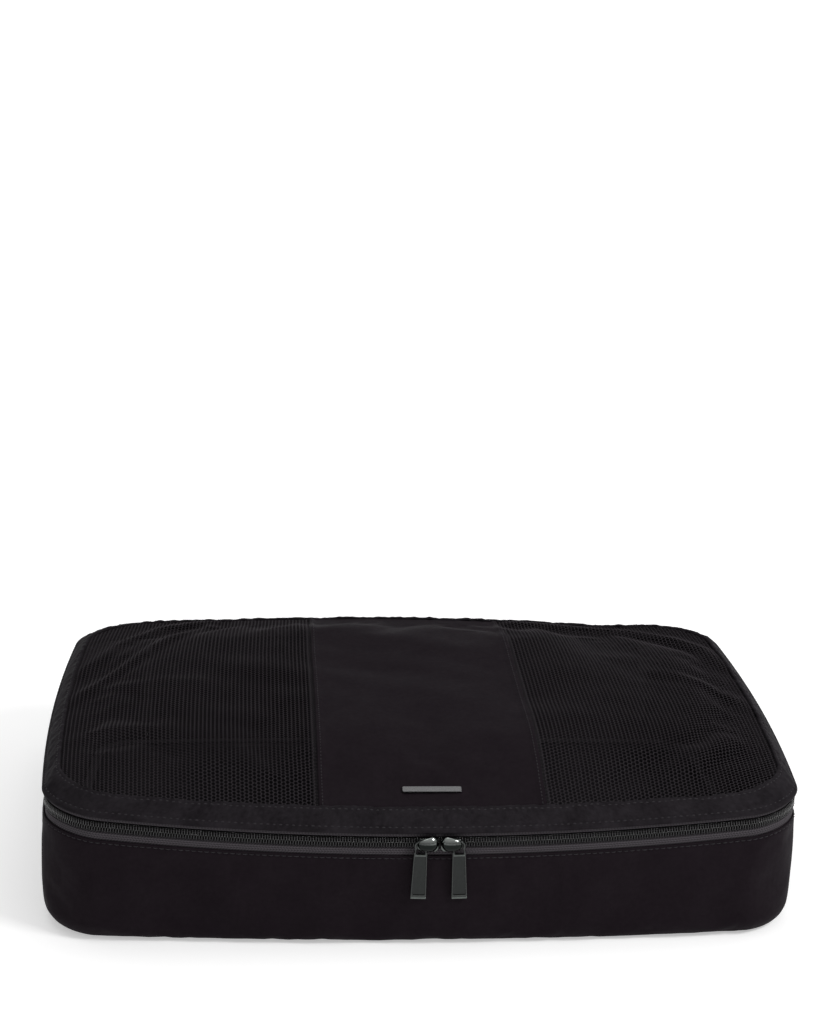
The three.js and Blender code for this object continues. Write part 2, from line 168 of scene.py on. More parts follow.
def contour_depth(px, py):
    """How far inside the lid's edge plain points are, along the lid's contours."""
    low = np.zeros(np.broadcast(px, py).shape)
    high = np.full(low.shape, BORDER_W + CROWN_REACH)
    for _ in range(22):
        middle = (low + high) / 2
        b = HALF_D - middle
        r = np.minimum(CORNER_R + CORNER_GROWTH * middle, b)
        qx = np.clip(np.abs(px) - (HALF_W - middle - r), 0, None)
        qy = np.clip(np.abs(py) - (b - r), 0, None)
        inside = np.hypot(qx, qy) <= r
        low = np.where(inside, middle, low)
        high = np.where(inside, high, middle)
    return low


def lid_rise(depth):
    """Rise of the lid above its edge: the fold, the steep border, then the flatter crown."""
    border = (BORDER_H - FOLD_H) * np.clip(depth / BORDER_W, 0, 1)
    inside = np.clip(depth - BORDER_W, 0, None) / CROWN_REACH
    return FOLD_H + border + CROWN_H * (1 - np.clip(1 - inside, 0, None) ** CROWN_POWER)


def plain_outline(depth=0.0):
    """Points of the closed plain contour at a depth, counter-clockwise from the middle of the back."""
    steps = 60
    a, b = HALF_W - depth, HALF_D - depth
    r = CORNER_R + CORNER_GROWTH * depth
    corners = [(-1, 1, 90), (-1, -1, 180), (1, -1, 270), (1, 1, 0)]
    t = np.linspace(0, 1, steps)[1:-1, None]
    points = [np.array([[0.0, b]])]
    for sx, sy, start in corners:
        angle = np.radians(start + np.linspace(0, 90, steps))
        arc = np.array([sx * (a - r), sy * (b - r)]) + r * stack(np.cos(angle), np.sin(angle))
        last = points[-1][-1]
        points += [last + (arc[0] - last) * t, arc]
    last = points[-1][-1]
    points += [last + (points[0][0] - last) * t, points[0]]
    return np.concatenate(points)


def dense_rim():
    """The lid edge at about 1 mm steps: arc lengths, then x, y, z and the outward direction."""
    plain = plain_outline()
    loop = stack(*swell(*plain.T), edge_height(*plain.T))
    s = arc_lengths(loop[:, :2])
    even = np.linspace(0, s[-1], int(s[-1]) + 1)
    points = at_lengths(even, s, loop)
    ahead = unit(np.roll(points[:-1], -2, 0)[:, :2] - np.roll(points[:-1], 2, 0)[:, :2])
    normal = stack(ahead[:, 1], -ahead[:, 0])
    normal = np.vstack([normal, normal[:1]])
    return even, np.column_stack([points, normal])


RIM_S, RIM = dense_rim()
LENGTH = RIM_S[-1]


def rim_at(s):
    """x, y, z, nx, ny of the lid edge at arc length s, counted from the middle of the back."""
    values = at_lengths(np.mod(s, LENGTH), RIM_S, RIM)
    values[..., 3:] = unit(values[..., 3:])
    return values


def arc_of_back(x):
    """Arc length of the place on the back at x."""
    half = len(RIM_S) // 8
    near = RIM[:half, 0] if x < 0 else RIM[-half:, 0]
    lengths = RIM_S[:half] if x < 0 else RIM_S[-half:]
    order = np.argsort(near)
    return float(np.interp(x, near[order], lengths[order]))


def place(s, o, z):
    """Points o outwards from the lid edge at arc length s, at height z."""
    r = rim_at(s)
    return stack(r[..., 0] + r[..., 3] * o, r[..., 1] + r[..., 4] * o, z)


def outwards(s, distance):
    """Moves straight out from the lid edge."""
    r = rim_at(s)
    return stack(r[..., 3] * distance, r[..., 4] * distance, 0)


def zip_height(s):
    return rim_at(s)[..., 2] - ZIP_DROP


def smooth_noise(a, b, scale, seed):
    """Seeded smooth noise from -1 to 1 over coordinates a and b in millimetres."""
    rng = np.random.default_rng(seed)
    waves = 9
    total = np.zeros(np.broadcast(a, b).shape)
    for octave in range(2):
        for _ in range(waves):
            angle = rng.uniform(0, 2 * math.pi)
            wave = scale * rng.uniform(0.7, 1.5) / 2 ** octave
            phase = rng.uniform(0, 2 * math.pi)
            along = a * math.cos(angle) + b * math.sin(angle)
            total = total + np.sin(2 * math.pi * along / wave + phase) / (waves * 0.6 * 1.7 ** octave)
    return total


# ---- meshes

def grid_faces(rows, columns, close_columns=False, close_rows=False):
    r = np.arange(rows if close_rows else rows - 1)[:, None]
    c = np.arange(columns if close_columns else columns - 1)[None, :]
    r2, c2 = (r + 1) % rows, (c + 1) % columns
    quads = np.stack([r * columns + c, r * columns + c2, r2 * columns + c2, r2 * columns + c], -1)
    return quads.reshape(-1, 4)


def capped_faces(rows, columns):
    """Faces of a tube of rings, with both ends closed."""
    first = list(range(columns))
    last = [(rows - 1) * columns + i for i in first]
    return grid_faces(rows, columns, close_columns=True).tolist() + [first[::-1], last]


def add_object(name, data):
    obj = bpy.data.objects.new(name, data)
    bpy.context.scene.collection.objects.link(obj)
    return obj


def edge_faces(ring, count):
    """Faces between a ring of points and the same ring count points later."""
    ahead = np.roll(ring, -1)
    return np.stack([ring, ring + count, ahead + count, ahead], -1)


def make_mesh(name, vertices, faces, material, weave=None):
    """An object from points in millimetres. weave is a coordinate in millimetres along the cloth."""
    mesh = bpy.data.meshes.new(name)
    if isinstance(faces, np.ndarray):
        faces = faces.tolist()
    mesh.from_pydata((np.asarray(vertices).reshape(-1, 3) * MM).tolist(), [], faces)
    mesh.validate()
    if weave is not None:
        attribute = mesh.attributes.new("weave_mm", "FLOAT_VECTOR", "POINT")
        attribute.data.foreach_set("vector", np.asarray(weave, np.float32).reshape(-1))
    mesh.polygons.foreach_set("use_smooth", [True] * len(mesh.polygons))
    mesh.materials.append(material)
    return add_object(name, mesh)


def grid_normals(grid):
    return unit(np.cross(np.gradient(grid, axis=1), np.gradient(grid, axis=0)))


def line_inside(obj, first, last):
    """Gives the coated inner side of the cloth to a run of faces."""
    obj.data.materials.append(LINING)
    for polygon in obj.data.polygons[first:last]:
        polygon.material_index = 1


def cloth_sheet(name, grid, thickness, material, weave, lined=False):
    """A closed sheet: the grid is its outer face, and its inner face lies thickness behind it."""
    rows, columns = grid.shape[:2]
    count = rows * columns
    back = grid - grid_normals(grid) * thickness
    index = np.arange(count).reshape(rows, columns)
    ring = np.concatenate([index[0, :-1], index[:-1, -1], index[-1, :0:-1], index[:0:-1, 0]])
    face = grid_faces(rows, columns)
    faces = np.concatenate([face, face[:, ::-1] + count, edge_faces(ring, count)])
    obj = make_mesh(name, [grid, back], faces, material, [weave, weave])
    if lined:
        line_inside(obj, len(face), 2 * len(face))
    return obj


def sweep(name, s, section, material, closed=False):
    """A section swept along the lid edge. section is (stations, points, 2): outwards and height."""
    rows, columns = section.shape[:2]
    points = place(s[:, None], section[..., 0], section[..., 1])
    faces = grid_faces(rows, columns, True, True) if closed else capped_faces(rows, columns)
    round_it = np.cumsum(np.linalg.norm(np.diff(section, axis=1, prepend=section[:, :1]), axis=-1), 1)
    obj = make_mesh(name, points, faces, material, stack(s[:, None], round_it, 0))
    flip_if_inside_out(obj)
    return obj


def flip_if_inside_out(obj):
    mesh = obj.data
    mesh.calc_loop_triangles()
    co = np.zeros(len(mesh.vertices) * 3)
    mesh.vertices.foreach_get("co", co)
    co = co.reshape(-1, 3)
    tri = np.zeros(len(mesh.loop_triangles) * 3, np.int32)
    mesh.loop_triangles.foreach_get("vertices", tri)
    a, b, c = (co[tri.reshape(-1, 3)[:, i]] for i in range(3))
    if (a * np.cross(b, c)).sum() < 0:
        mesh.flip_normals()


def circle(sides):
    """Evenly spaced angles once round."""
    return np.linspace(0, 2 * math.pi, sides, endpoint=False)


def band(o0, o1, z0, z1, n=3, soft=0.25):
    """A rectangular section with eased corners, as (points, 2), counter-clockwise."""
    corners = [(o0, z0), (o1, z0), (o1, z1), (o0, z1)]
    soft = min(soft, abs(o1 - o0) / 2.2, abs(z1 - z0) / 2.2)
    points = []
    for i, (o, z) in enumerate(corners):
        so = 1 if i in (0, 3) else -1
        sz = 1 if i in (0, 1) else -1
        start = [180, 270, 0, 90][i]
        for a in np.radians(start + np.linspace(0, 90, n)):
            points.append((o + so * soft + soft * math.cos(a), z + sz * soft + soft * math.sin(a)))
    return np.array(points)


def raised(points, heights):
    """A section for each station, lifted to its height."""
    return points + stack(0, heights)[:, None]


def ribbon(path, thickness):
    """The section of a strip that is bent along a path."""
    ahead = unit(np.gradient(path, axis=0))
    side = stack(ahead[:, 1], -ahead[:, 0]) * thickness / 2
    return np.concatenate([path + side, (path - side)[::-1]])


def tubes(paths, normals, radius):
    """Vertices and faces of flattened three-sided tubes along paths (count, points, 3), open at both ends."""
    sides = 3
    count, points = paths.shape[:2]
    side = unit(np.cross(unit(np.gradient(paths, axis=1)), normals))
    angle = 2 * math.pi * (np.arange(sides) + 0.75) / sides
    radius = np.broadcast_to(radius, (count, points))[..., None, None]
    lift = normals[:, :, None] * THREAD_FLAT
    ring = side[:, :, None] * np.cos(angle)[:, None] + lift * np.sin(angle)[:, None]
    vertices = (paths[:, :, None] + ring * radius).reshape(-1, 3)
    one = grid_faces(points, sides, close_columns=True)
    faces = (one[None] + (np.arange(count) * points * sides)[:, None, None]).reshape(-1, 4)
    return vertices, faces


def scatter(template, faces, origins, axes, size=1.0):
    """Copies of a small mesh at origins, each with the three axes it is turned to."""
    vertices = origins[:, None] + (template[None] @ np.stack(axes, 1)) * size
    shift = np.arange(len(origins)) * len(template)
    return vertices, (faces[None] + shift[:, None, None]).reshape(-1, faces.shape[1])


def stitch_template(length, width, height):
    """One stitch: a short arched thread that dips at both ends."""
    rings = 5
    t = np.linspace(-1, 1, rings)[:, None]
    angle = circle(THREAD_SIDES)
    full = np.sqrt(1 - 0.8 * t ** 2)
    y = full * np.cos(angle) * width / 2
    z = full * np.sin(angle) * height / 2 + height * 0.35 * (1 - 2.2 * t ** 2)
    vertices = stack(t * length / 2, y, z).reshape(-1, 3)
    return vertices, grid_faces(rings, THREAD_SIDES, close_columns=True)


def stitches(name, path, up, pitch=STITCH, width=0.92, closed=False):
    """A row of lockstitches along a dense path."""
    loop = np.vstack([path, path[:1]]) if closed else path
    ups = np.vstack([up, up[:1]]) if closed else up
    s = arc_lengths(loop)
    count = int(s[-1] / pitch)
    at = (np.arange(count) + 0.5) * s[-1] / count
    point = at_lengths(at, s, loop)
    ahead = unit(at_lengths(at + 0.5, s, loop) - point)
    side = unit(np.cross(at_lengths(at, s, ups), ahead))
    template, faces = stitch_template(pitch * 0.8, width, width * 0.9)
    size = 1 + 0.06 * RNG.standard_normal((count, 1, 1))
    axes = (ahead, side, np.cross(ahead, side))
    return make_mesh(name, *scatter(template, faces, point, axes, size), THREAD)


# ---- materials

class Nodes:
    """Small helper round the node tree of a material or the world."""

    def __init__(self, owner, shader="Principled BSDF"):
        owner.use_nodes = True
        self.owner = owner
        self.tree = owner.node_tree
        self.shader = self.tree.nodes[shader]

    def add(self, kind, **values):
        node = self.tree.nodes.new(kind)
        for key, value in values.items():
            if key in node.inputs:
                node.inputs[key].default_value = value
            else:
                setattr(node, key, value)
        return node

    def link(self, source, target):
        self.tree.links.new(source, target)

    def set(self, **values):
        for key, value in values.items():
            self.shader.inputs[key.replace("_", " ")].default_value = value

    def math(self, operation, *values):
        node = self.add("ShaderNodeMath", operation=operation)
        for socket, value in zip(node.inputs, values):
            if isinstance(value, (int, float)):
                socket.default_value = value
            else:
                self.link(value, socket)
        return node.outputs[0]

    def weave(self):
        return self.add("ShaderNodeAttribute", attribute_name="weave_mm").outputs["Vector"]

    def split(self, vector):
        node = self.add("ShaderNodeSeparateXYZ")
        self.link(vector, node.inputs[0])
        return node.outputs

    def place(self):
        """Object coordinates in millimetres."""
        node = self.add("ShaderNodeVectorMath", operation="SCALE", Scale=1 / MM)
        self.link(self.add("ShaderNodeTexCoord").outputs["Object"], node.inputs[0])
        return node.outputs[0]

    def noise(self, vector, scale, detail=3.0, roughness=0.5):
        node = self.add("ShaderNodeTexNoise", Scale=scale, Detail=detail, Roughness=roughness)
        self.link(vector, node.inputs["Vector"])
        return node.outputs["Fac"]

    def ramp(self, value, low, high, to_low, to_high):
        limits = {"From Min": low, "From Max": high, "To Min": to_low, "To Max": to_high}
        node = self.add("ShaderNodeMapRange", **limits)
        self.link(value, node.inputs["Value"])
        return node.outputs[0]

    def colour(self, value, dark, light):
        node = self.add("ShaderNodeMix", data_type="RGBA")
        node.inputs[6].default_value = (*dark, 1)
        node.inputs[7].default_value = (*light, 1)
        self.link(value, node.inputs[0])
        self.link(node.outputs[2], self.shader.inputs["Base Color"])

    def roughness(self, value, low, high, top=0.7):
        self.link(self.ramp(value, 0.3, top, low, high), self.shader.inputs["Roughness"])

    def mottle(self, value, dark, light, smooth, rough, top=0.7):
        """Colour and roughness that change together."""
        self.colour(value, dark, light)
        self.roughness(value, smooth, rough, top)

    def bump(self, height, distance, strength, under=None):
        node = self.add("ShaderNodeBump", Strength=strength, Distance=distance)
        self.link(height, node.inputs["Height"])
        if under is not None:
            self.link(under, node.inputs["Normal"])
        self.link(node.outputs[0], self.shader.inputs["Normal"])
        return node.outputs[0]


def threads(n, x, pitch):
    """Rounded thread profile, 0 to 1, repeating every pitch millimetres along x."""
    wave = n.math("SINE", n.math("MULTIPLY", x, 2 * math.pi / pitch))
    return n.math("ADD", n.math("MULTIPLY", wave, 0.5), 0.5)


def mean(n, a, b):
    return n.math("MULTIPLY", n.math("ADD", a, b), 0.5)


def cloth_material(name, dark, light, pitch, sheen):
    n = Nodes(bpy.data.materials.new(name))
    vector = n.weave()
    x, y = n.split(vector)[:2]
    height = mean(n, threads(n, x, pitch), threads(n, y, pitch))
    slub = n.noise(vector, 0.35, 4.0, 0.6)
    mixed = mean(n, slub, n.noise(n.place(), 0.06, 4.0, 0.6))
    n.colour(n.ramp(mixed, 0.3, 0.7, 0, 1), dark, light)
    n.roughness(mixed, 0.66, 0.55)
    n.set(Sheen_Weight=sheen, Sheen_Roughness=0.45, Sheen_Tint=(0.9, 0.9, 1.0, 1))
    n.set(Specular_IOR_Level=0.02)
    under = n.bump(n.math("ADD", height, n.math("MULTIPLY", slub, 0.8)), 0.05 * MM, 0.6)
    n.bump(n.noise(n.place(), 0.12), 0.25 * MM, 0.35, under)
    return n.owner


def thread_material(name, dark, light, roughness):
    n = Nodes(bpy.data.materials.new(name))
    fibre = n.noise(n.place(), 3.0)
    n.mottle(fibre, dark, light, roughness - 0.06, roughness + 0.06)
    n.set(Sheen_Weight=0.01, Sheen_Roughness=0.4, Specular_IOR_Level=0.08)
    n.bump(fibre, 0.05 * MM, 0.5)
    return n.owner


def tape_material(name, dark, light, pitch):
    n = Nodes(bpy.data.materials.new(name))
    x, y = n.split(n.weave())[:2]
    zigzag = n.math("PINGPONG", y, 1.6)
    herring = threads(n, n.math("ADD", x, n.math("MULTIPLY", zigzag, 0.9)), pitch)
    height = mean(n, herring, threads(n, y, 1.3))
    # painted shade: the colour follows the weave's height, darker in its grooves and lighter on the thread
    # tops
    n.colour(height, dark, light)
    n.set(Roughness=0.7, Sheen_Weight=0.01, Sheen_Roughness=0.5, Specular_IOR_Level=0.05)
    n.bump(height, 0.15 * MM, 0.8)
    return n.owner


def metal_material(name, dark, light, roughness, scratch):
    n = Nodes(bpy.data.materials.new(name))
    wear = n.noise(n.place(), 0.5, 4.0, 0.6)
    n.mottle(wear, dark, light, roughness, roughness + 0.12, 0.75)
    n.set(Metallic=1.0)
    n.bump(n.noise(n.place(), 6.0, 2.0), scratch * MM, 0.3)
    return n.owner


def painted_shade_dome_material(name, low, high, roughness):
    """Plating coloured with painted shade: darker towards the lower edge of a slider's dome, and lighter at
    its top as a painted reflection.
    """
    n = Nodes(bpy.data.materials.new(name))
    grain = n.noise(n.place(), 2.0)
    height = n.math("ADD", n.split(n.place())[2], n.math("MULTIPLY", grain, 1.2))
    # painted shade and painted reflection: the colour runs from dark low on the dome to light at its top
    n.colour(n.ramp(height, ZIP_Z + 1.7, ZIP_Z + 4.6, 0, 1), low, high)
    n.roughness(grain, roughness, roughness + 0.06)
    n.set(Metallic=1.0)
    return n.owner


def plastic_material(name, dark, light, roughness):
    n = Nodes(bpy.data.materials.new(name))
    spots = n.noise(n.place(), 1.5)
    n.mottle(spots, dark, light, roughness, roughness + 0.1)
    n.set(Coat_Weight=0.4, Coat_Roughness=0.08)
    n.bump(spots, 0.02 * MM, 0.4)
    return n.owner


def brushed_material(name, dark, light, roughness):
    n = Nodes(bpy.data.materials.new(name))
    stretch = n.add("ShaderNodeVectorMath", operation="MULTIPLY")
    stretch.inputs[1].default_value = (0.15, 6.0, 6.0)
    n.link(n.place(), stretch.inputs[0])
    lines = n.noise(stretch.outputs[0], 1.2, 4.0, 0.7)
    n.mottle(lines, dark, light, roughness - 0.06, roughness + 0.1)
    n.set(Metallic=1.0)
    n.bump(lines, 0.02 * MM, 0.4)
    return n.owner


NYLON = cloth_material("nylon", (0.0084, 0.0058, 0.0078), (0.012, 0.0088, 0.0112), 0.55, 0.012)
TRIM = cloth_material("nylon_trim", (0.0066, 0.0055, 0.0066), (0.021, 0.0183, 0.0213), 0.5, 0.006)
LINING = cloth_material("lining", (0.0105, 0.009, 0.0105), (0.017, 0.015, 0.017), 0.55, 0.006)
BINDING = tape_material("binding", (0.014, 0.0125, 0.014), (0.030, 0.027, 0.030), 1.0)
TAPE = tape_material("zip_tape", (0.016, 0.0142, 0.016), (0.074, 0.0665, 0.074), 1.7)
COIL = plastic_material("zip_coil", (0.0015, 0.0015, 0.0015), (0.004, 0.0038, 0.004), 0.12)
THREAD = thread_material("thread", (0.016, 0.0145, 0.0165), (0.036, 0.033, 0.037), 0.5)
CORE = thread_material("coil_core", (0.0015, 0.0013, 0.0015), (0.003, 0.0027, 0.003), 0.8)
NET = thread_material("net_thread", (0.0182, 0.0150, 0.0178), (0.0325, 0.0281, 0.0323), 0.5)
# the dome's colour holds painted shade low down and a painted reflection at its top
DOME = painted_shade_dome_material("dome_metal_painted_shade", (0.012, 0.0145, 0.0135), (0.36, 0.385, 0.37), 0.13)
PULL_RIM = metal_material("pull_rim", (0.040, 0.042, 0.041), (0.058, 0.061, 0.060), 0.2, 0.02)
GUNMETAL = metal_material("gunmetal", (0.022, 0.0235, 0.023), (0.034, 0.036, 0.0355), 0.26, 0.02)
POLISHED = metal_material("polished_metal", (0.070, 0.078, 0.074), (0.125, 0.137, 0.130), 0.11, 0.01)
BADGE = brushed_material("badge_metal", (0.10, 0.10, 0.102), (0.17, 0.17, 0.173), 0.26)


# ---- camera, floor and light

def look(yaw, pitch, roll):
    """Camera axes for a view turned by yaw from +Y, tilted down by pitch, and rolled."""
    right = np.array([math.cos(yaw), math.sin(yaw), 0.0])
    level = np.array([-math.sin(yaw), math.cos(yaw), 0.0])
    forward = level * math.cos(pitch) - np.array([0, 0, math.sin(pitch)])
    up = np.cross(right, forward)
    rolled = math.cos(roll) * right + math.sin(roll) * up
    return np.column_stack([rolled, -math.sin(roll) * right + math.cos(roll) * up, -forward])


def stand(obj, at, axes):
    obj.matrix_world = Matrix.Translation(at) @ Matrix(axes.tolist()).to_4x4()


def add_camera():
    data = bpy.data.cameras.new("camera")
    data.sensor_width = 36.0
    data.lens = 77.31
    data.clip_end = 100.0
    camera = add_object("camera", data)
    stand(camera, (-0.0946, -1.2777, 0.5966), look(-0.0755, 0.2907, 0.0282))
    bpy.context.scene.camera = camera


def add_area(name, at, target, width, height, power):
    """A rectangular light at a place, facing a target."""
    data = bpy.data.lights.new(name, "AREA")
    data.shape = "RECTANGLE"
    data.size = width
    data.size_y = height
    data.energy = power
    away = unit(np.subtract(at, target))
    side = unit(np.cross((0, 0, 1.0), away))
    stand(add_object(name, data), at, np.column_stack([side, np.cross(away, side), away]))


def add_floor():
    """A pale floor that glows a little, more so farther away, like a lit studio sweep."""
    n = Nodes(bpy.data.materials.new("floor"))
    n.colour(n.noise(n.place(), 0.002, 2.0), (0.78, 0.78, 0.78), (0.82, 0.82, 0.82))
    away = n.add("ShaderNodeVectorMath", operation="LENGTH")
    n.link(n.place(), away.inputs[0])
    n.link(n.ramp(away.outputs["Value"], 300, 1600, 0.42, 0.8), n.shader.inputs["Emission Strength"])
    n.set(Roughness=0.9, Specular_IOR_Level=0.1, Emission_Color=(1, 1, 1, 1))
    side = 30000.0
    corners = [(-side, -side, 0), (side, -side, 0), (side, side, 0), (-side, side, 0)]
    make_mesh("floor", corners, [[0, 1, 2, 3]], n.owner)


def add_world():
    """Soft light from all sides, stronger from above."""
    n = Nodes(bpy.data.worlds.new("world"), "Background")
    height = n.split(n.add("ShaderNodeTexCoord").outputs["Generated"])[2]
    n.link(n.ramp(height, 0.0, 0.8, 0.39, 0.48), n.shader.inputs["Strength"])
    n.set(Color=(1, 1, 1, 1))
    bpy.context.scene.world = n.owner
    bpy.context.scene.view_settings.view_transform = "Standard"


def add_lights():
    add_area("key", (0.95, -0.75, 1.15), (0, -0.05, 0.05), 0.4, 0.4, 12)
    add_area("overhead", (-0.1, 0.25, 1.5), (0, 0, 0.05), 1.4, 1.0, 6)


# ---- the filled cloth, simulated

def run_cloth(name, grid, close_columns, pin, pressure, slack, frames, cap):
    """Blender's cloth on a grid in millimetres. Gives each point's move, limited to cap."""
    rows, columns = grid.shape[:2]
    faces = grid_faces(rows, columns, close_columns=close_columns)
    obj = make_mesh(name, grid, faces, NYLON)
    group = obj.vertex_groups.new(name="pin")
    for index, weight in enumerate(pin.reshape(-1)):
        if weight > 0:
            group.add([index], float(weight), "REPLACE")
    modifier = obj.modifiers.new("cloth", "CLOTH")
    values = {
        "vertex_group_mass": "pin", "quality": 6, "mass": 0.15, "tension_stiffness": 18,
        "compression_stiffness": 18, "shear_stiffness": 9, "bending_stiffness": 0.6,
        "tension_damping": 15, "compression_damping": 15, "shear_damping": 15, "air_damping": 3,
        "shrink_min": -slack, "use_pressure": True, "uniform_pressure_force": pressure}
    for key, value in values.items():
        setattr(modifier.settings, key, value)
    modifier.settings.effector_weights.gravity = 0
    modifier.collision_settings.use_collision = False
    modifier.point_cache.frame_start = 1
    modifier.point_cache.frame_end = frames
    for step in range(1, frames + 1):
        bpy.context.scene.frame_set(step)
    shown = obj.evaluated_get(bpy.context.evaluated_depsgraph_get())
    moved = np.zeros(rows * columns * 3)
    shown.data.vertices.foreach_get("co", moved)
    bpy.context.scene.frame_set(1)
    mesh = obj.data
    bpy.data.objects.remove(obj)
    bpy.data.meshes.remove(mesh)
    move = moved.reshape(rows, columns, 3) / MM - grid
    size = np.linalg.norm(move, axis=-1, keepdims=True)
    return move * np.tanh(size / cap) * cap / np.maximum(size, 1e-6)


def bilinear(table, u, v):
    """table[(rows, columns, k)] at fractional row u and column v."""
    rows, columns = table.shape[:2]
    u = np.clip(u, 0, rows - 1.001)
    v = np.clip(v, 0, columns - 1.001)
    i, j = u.astype(int), v.astype(int)
    fu, fv = (u - i)[..., None], (v - j)[..., None]
    top = table[i, j] * (1 - fv) + table[i, j + 1] * fv
    low = table[i + 1, j] * (1 - fv) + table[i + 1, j + 1] * fv
    return top * (1 - fu) + low * fu


def smoother(table):
    """Rounds off a table of moves so that it bends like cloth between its points."""
    padded = np.pad(table, ((1, 1), (1, 1), (0, 0)), mode="edge")
    rows, columns = padded[:, 1:-1], padded[1:-1]
    return (4 * table + rows[:-2] + rows[2:] + columns[:, :-2] + columns[:, 2:]) / 8


def reach_at(px, inset=0.0):
    """How far the contour at an inset reaches to the front and back at plain px."""
    r = CORNER_R + CORNER_GROWTH * inset
    over = np.clip(np.abs(px) - (HALF_W - inset - r), 0, r)
    return HALF_D - inset - r + np.sqrt(r * r - over * over)


LID_ROWS, LID_COLUMNS = 90, 130


def lid_base(px, py):
    return stack(*swell(px, py), edge_height(px, py) + lid_rise(contour_depth(px, py)))


def creases(px, py):
    """Soft ridges along their lines, with the cloth sunk a little beside them."""
    total = 0 * px * py
    for line, rise, width in CREASES:
        away = np.inf
        for (x0, y0), (x1, y1) in zip(line, line[1:]):
            dx, dy = x1 - x0, y1 - y0
            t = np.clip(((px - x0) * dx + (py - y0) * dy) / (dx * dx + dy * dy), 0, 1)
            away = np.minimum(away, np.hypot(px - x0 - t * dx, py - y0 - t * dy))
        sunk = 0.45 * np.exp(-(away / (2.2 * width)) ** 2)
        total = total + rise * (np.exp(-(away / width) ** 2) - sunk)
    return total * np.clip((contour_depth(px, py) - 3) / 12, 0, 1)


def lump(px, py):
    """Height of the soft contents and of the creases under the lid."""
    depth = contour_depth(px, py)
    height = 1.2 * np.clip((depth - 4) / 50, 0, 1) * smooth_noise(px, py, 95, 11)
    for x, y, reach, rise in SWELLS:
        near = np.exp(-((px - x) ** 2 + (py - y) ** 2) / reach ** 2)
        height = height + rise * near * np.clip(depth / 6, 0, 1)
    return height + creases(px, py)


def simulate_lid():
    t = np.linspace(-1, 1, LID_COLUMNS)
    px = HALF_W * np.sin(t * math.pi / 2)[None, :] + np.zeros((LID_ROWS, 1))
    v = np.linspace(-1, 1, LID_ROWS)[:, None]
    py = v * reach_at(px)
    lumps = lump(px, py)[..., None] * [0, 0, 1]
    depth = contour_depth(px, py)
    pin = np.clip(1.1 - (depth - BORDER_W) / 22, 0, 1)
    seam = np.exp(-((np.abs(swell(px, py)[0] - PANEL_X) - SEAM_X) / 4) ** 2)
    pin = np.maximum(pin, 0.05 * seam)
    move = run_cloth("lid_skin", lid_base(px, py) + lumps, False, pin, 0.7, 0.012, 24, 6.0)
    return smoother(move + lumps)


def lid_point(px, py, lift=0.0):
    """A point of the finished lid over a plain point, lifted along z."""
    u = (py / reach_at(px) + 1) / 2 * (LID_ROWS - 1)
    t = np.arcsin(np.clip(px / HALF_W, -1, 1)) / (math.pi / 2)
    v = (t + 1) / 2 * (LID_COLUMNS - 1)
    point = lid_base(px, py) + bilinear(LID_TABLE, u, v)
    point[..., 2] += lift
    return point


WALL_ROWS, WALL_COLUMNS = 26, 300
LEAN = 0.8


def wall_length(top):
    """Length of the wall from the bottom seam round the bend to a height."""
    return BOTTOM_R * math.pi / 2 + top - BOTTOM_R


def wall_base(s, v, top):
    """The plain wall at v, from 0 at the bottom seam to 1 at the top."""
    run = v * wall_length(top)
    angle = np.clip(run / BOTTOM_R, 0, math.pi / 2)
    z = BOTTOM_R - BOTTOM_R * np.cos(angle) + np.clip(run - BOTTOM_R * math.pi / 2, 0, None)
    return place(s, BOTTOM_R * np.sin(angle) - BOTTOM_R, z)


def simulate_walls():
    s, v = np.meshgrid(np.linspace(0, LENGTH, WALL_COLUMNS), np.linspace(0, 1, WALL_ROWS))
    hump = np.sin(math.pi * np.clip((v - 0.25) / 0.75, 0, 1))
    soft = hump * (0.3 + 0.9 * smooth_noise(s, v * 85, 120, 5))
    lumps = outwards(s, soft - rim_at(s)[..., 3] * LEAN * np.sin(math.pi * v))
    grid = wall_base(s, v, zip_height(s) + WALL_TOP) + lumps
    pin = np.clip(1 - v / 0.12, 0, 1) + np.clip((v - 0.93) / 0.05, 0, 1)
    move = run_cloth("wall_skin", grid[:, :-1], True, np.clip(pin[:, :-1], 0, 1), -0.5, 0.01, 20, 4.0)
    return smoother(np.concatenate([move, move[:, :1]], 1) + lumps)


def wall_point(s, v, top, lift):
    """A point of the finished wall, lifted outwards."""
    s, v = np.broadcast_arrays(s, v)
    u = v * (WALL_ROWS - 1)
    column = np.mod(s, LENGTH) / LENGTH * (WALL_COLUMNS - 1)
    return wall_base(s, v, top) + bilinear(WALL_TABLE, u, column) + outwards(s, lift)


LID_TABLE = simulate_lid()
WALL_TABLE = simulate_walls()


# ---- lid pieces

def add_centre_panel():
    across = np.linspace(-PANEL_EDGE, PANEL_EDGE, 125)[None, :]
    py = np.linspace(-1, 1, 240)[:, None] * (HALF_D - BORDER_W + 3) + 0 * across
    px = plain_x(PANEL_X + across, py)
    edge = PANEL_EDGE - np.abs(across)
    lift = 1.1 * np.clip(1 - (np.clip(edge - 1.4, 0, None) / 3.2) ** 2, 0, 1)
    lift = lift - 0.4 * np.exp(-((edge - 2.4) / 0.45) ** 2) - 0.8 * np.clip(1 - edge / 0.8, 0, 1) ** 2
    under = np.clip((contour_depth(px, py) - BORDER_W) / 3, 0, 1)
    ripple = 0.12 * smooth_noise(px, py, 14, 21) * np.exp(-edge / 6)
    grid = lid_point(px, py, lift * under + ripple - 0.5 * (1 - under))
    cloth = cloth_sheet("centre_panel_cloth", grid, CLOTH_T, NYLON, stack(px, py, 0))
    finish(cloth, "lid", "nylon", "lid_centre_panel")
    for name, side in SIDES:
        y = np.linspace(-1, 1, 700) * (HALF_D - BORDER_W - 1)
        x = plain_x(PANEL_X + side * (PANEL_EDGE - 2.4), y)
        path = lid_point(x, y, 0.62)
        finish(stitches(f"seam_stitches_{name}", path, up_at(x, y), 3.0, 0.6), "lid", "nylon")


